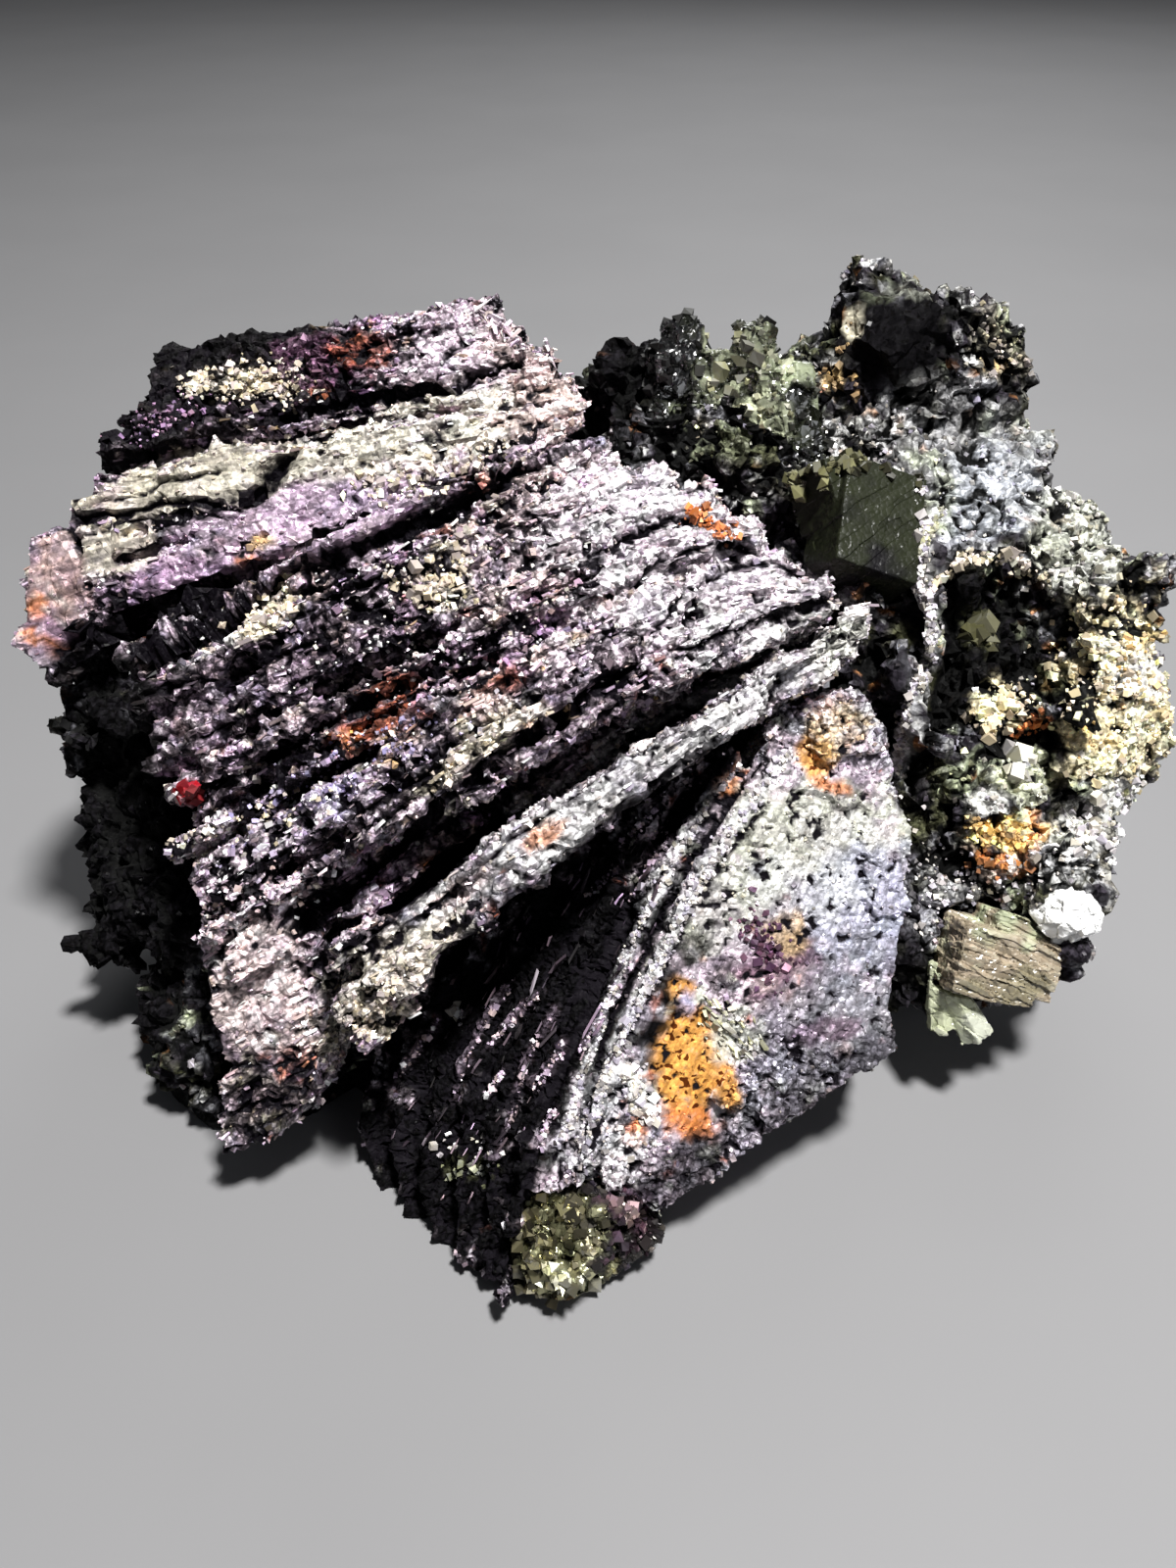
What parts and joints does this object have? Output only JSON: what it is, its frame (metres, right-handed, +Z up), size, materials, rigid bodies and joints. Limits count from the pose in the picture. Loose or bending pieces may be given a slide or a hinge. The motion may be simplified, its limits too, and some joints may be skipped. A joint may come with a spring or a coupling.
{
  "type": "pyrrhotite mineral specimen",
  "caption": "Hand specimen of pyrrhotite: fanned striated plates over a deep wedge hollow and a broad lower crystal, on dark sulphide rock. Rests on a flat spot.",
  "frame": {"origin": "middle of the flat spot that the specimen rests on", "axes": "+Z up from the surface; -Y towards the viewer, the way the show face looks; +X to the viewer's right"},
  "size_m": [0.0742, 0.0594, 0.0416],
  "materials": {
    "striated_pyrrhotite": "metallic bronze-grey with violet and pale yellow tarnish, striated and granular",
    "smooth_pyrrhotite": "metallic silver-grey, finely granular, with orange rust patches",
    "sulphide_rock": "dark, rough, sparkling, with grey-white and golden patches",
    "pyrite": "bright metallic greenish yellow",
    "quartz": "glossy, milky and slightly see-through",
    "siderite": "silky greenish brown, striated",
    "calcite": "glossy pale yellow-green",
    "sphalerite": "resinous dark olive",
    "sphalerite_pale": "glassy grey-green"
  },
  "bodies": {
    "root": {"pyrrhotite_stack": "striated_pyrrhotite", "pyrrhotite_blades": "smooth_pyrrhotite", "sulphide_matrix": "sulphide_rock", "pyrite_cluster": "pyrite", "quartz_crystal": "quartz", "siderite_crystal": "siderite", "calcite_blades": "calcite", "sphalerite_crystal": "sphalerite", "sphalerite_cluster": "sphalerite_pale"}
  },
  "joints": []
}
